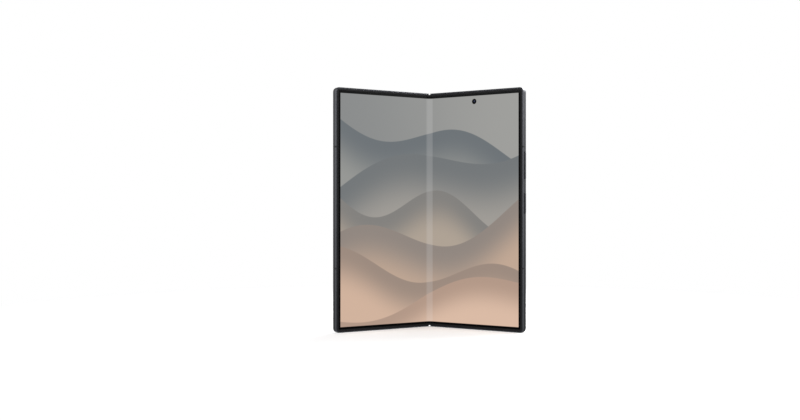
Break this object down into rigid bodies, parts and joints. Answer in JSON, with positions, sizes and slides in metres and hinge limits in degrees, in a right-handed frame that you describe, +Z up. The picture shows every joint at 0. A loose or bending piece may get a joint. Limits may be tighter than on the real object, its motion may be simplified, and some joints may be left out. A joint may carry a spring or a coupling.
{
  "type": "foldable smartphone",
  "caption": "Book-style foldable smartphone, part-way open and standing on its bottom edge, with a folding inner display, a hinge spine, a cover display and a rear camera island.",
  "frame": {"origin": "on the surface it stands on, under the middle of its box at rest; x = 0 is the hinge plane", "axes": "+Z up along the hinge, +X to the viewer's right when facing the inner display, +Y away from the viewer, through the display to the back"},
  "size_m": [0.1246, 0.0412, 0.1584],
  "materials": {
    "frame": "satin anodised, dark blue-grey",
    "antenna_band": "moulded, matt",
    "bezel": "matt black",
    "inner_screen": "glossy film over a soft grey to peach picture",
    "plate": "milled",
    "hinge_steel": "ground",
    "rear_glass": "etched satin glass, cool dark grey",
    "cover_glass": "polished, dark screen behind",
    "cover_screen": "dark, switched off",
    "island": "bead-blasted and anodised",
    "lens_ring": "turned, polished bevel",
    "lens": "coated, nearly black",
    "camera": "black",
    "flash": "milky window",
    "board": "solder-masked laminate",
    "shield": "tinned sheet",
    "battery": "pouch foil in a dark wrap",
    "copper": "flat wound coil and contact domes",
    "speaker": "black box",
    "key": "satin anodised",
    "spine": "satin anodised",
    "cap": "matt black",
    "ribbon": "polyimide ribbon"
  },
  "bodies": {
    "spine": {"spine_cover": "spine", "spine_end_caps": "cap", "hinge_brackets": "hinge_steel", "right_hinge_shafts": "hinge_steel", "left_hinge_shafts": "hinge_steel", "torque_springs": "hinge_steel", "display_fold": "inner_screen", "hinge_flex_cables": "ribbon"},
    "right_half": {"right_frame": "frame", "right_antenna_bands": "antenna_band", "right_bezel": "bezel", "right_display": "inner_screen", "right_support_plate": "plate", "right_wing_plate": "hinge_steel", "rear_cover": "rear_glass", "camera_island": "island", "lens_ring_top": "lens_ring", "lens_ring_middle": "lens_ring", "lens_ring_bottom": "lens_ring", "lens_glass_top": "lens", "lens_glass_middle": "lens", "lens_glass_bottom": "lens", "camera_top": "camera", "camera_middle": "camera", "camera_bottom": "camera", "flash_window": "flash", "inner_camera": "camera", "mainboard": "board", "shield_can_large": "shield", "shield_can_small": "shield", "right_battery": "battery", "charging_coil": "copper", "charging_board": "board", "usb_socket": "shield", "bottom_speaker": "speaker", "vibration_motor": "shield", "key_switches": "copper", "right_screws": "hinge_steel", "right_hinge_arms": "hinge_steel"},
    "left_half": {"left_frame": "frame", "left_antenna_bands": "antenna_band", "left_bezel": "bezel", "left_display": "inner_screen", "left_support_plate": "plate", "left_wing_plate": "hinge_steel", "cover_glass": "cover_glass", "cover_display": "cover_screen", "cover_camera": "camera", "left_battery": "battery", "left_board": "board", "earpiece_speaker": "speaker", "card_reader": "shield", "left_screws": "hinge_steel", "left_hinge_arms": "hinge_steel"},
    "volume_key": {"volume_key": "key"},
    "side_key": {"side_key": "key"},
    "card_tray": {"card_tray": "key"}
  },
  "joints": [
    {"name": "right_fold", "type": "hinge", "parent": "spine", "child": "right_half", "pos_m": [0.0014, 0.01733, 0.0792], "axis": [0, 0, -1], "range_deg": [-32, 58], "deforming": ["display_fold", "hinge_flex_cables"]},
    {"name": "left_fold", "type": "hinge", "parent": "spine", "child": "left_half", "pos_m": [-0.0014, 0.01733, 0.0792], "axis": [0, 0, 1], "range_deg": [-32, 58]},
    {"name": "volume_key_press", "type": "slide", "parent": "right_half", "child": "volume_key", "axis": [-0.848, 0.5299, 0], "range_m": [0, 0.00025], "stiffness_N_per_m": 2000},
    {"name": "side_key_press", "type": "slide", "parent": "right_half", "child": "side_key", "axis": [-0.848, 0.5299, 0], "range_m": [0, 0.00025], "stiffness_N_per_m": 2000},
    {"name": "card_tray_slide", "type": "slide", "parent": "left_half", "child": "card_tray", "axis": [0, 0, 1], "range_m": [0, 0.017]}
  ],
  "couplings": [
    {"joint": "left_fold", "follows": "right_fold", "ratio": 1}
  ]
}
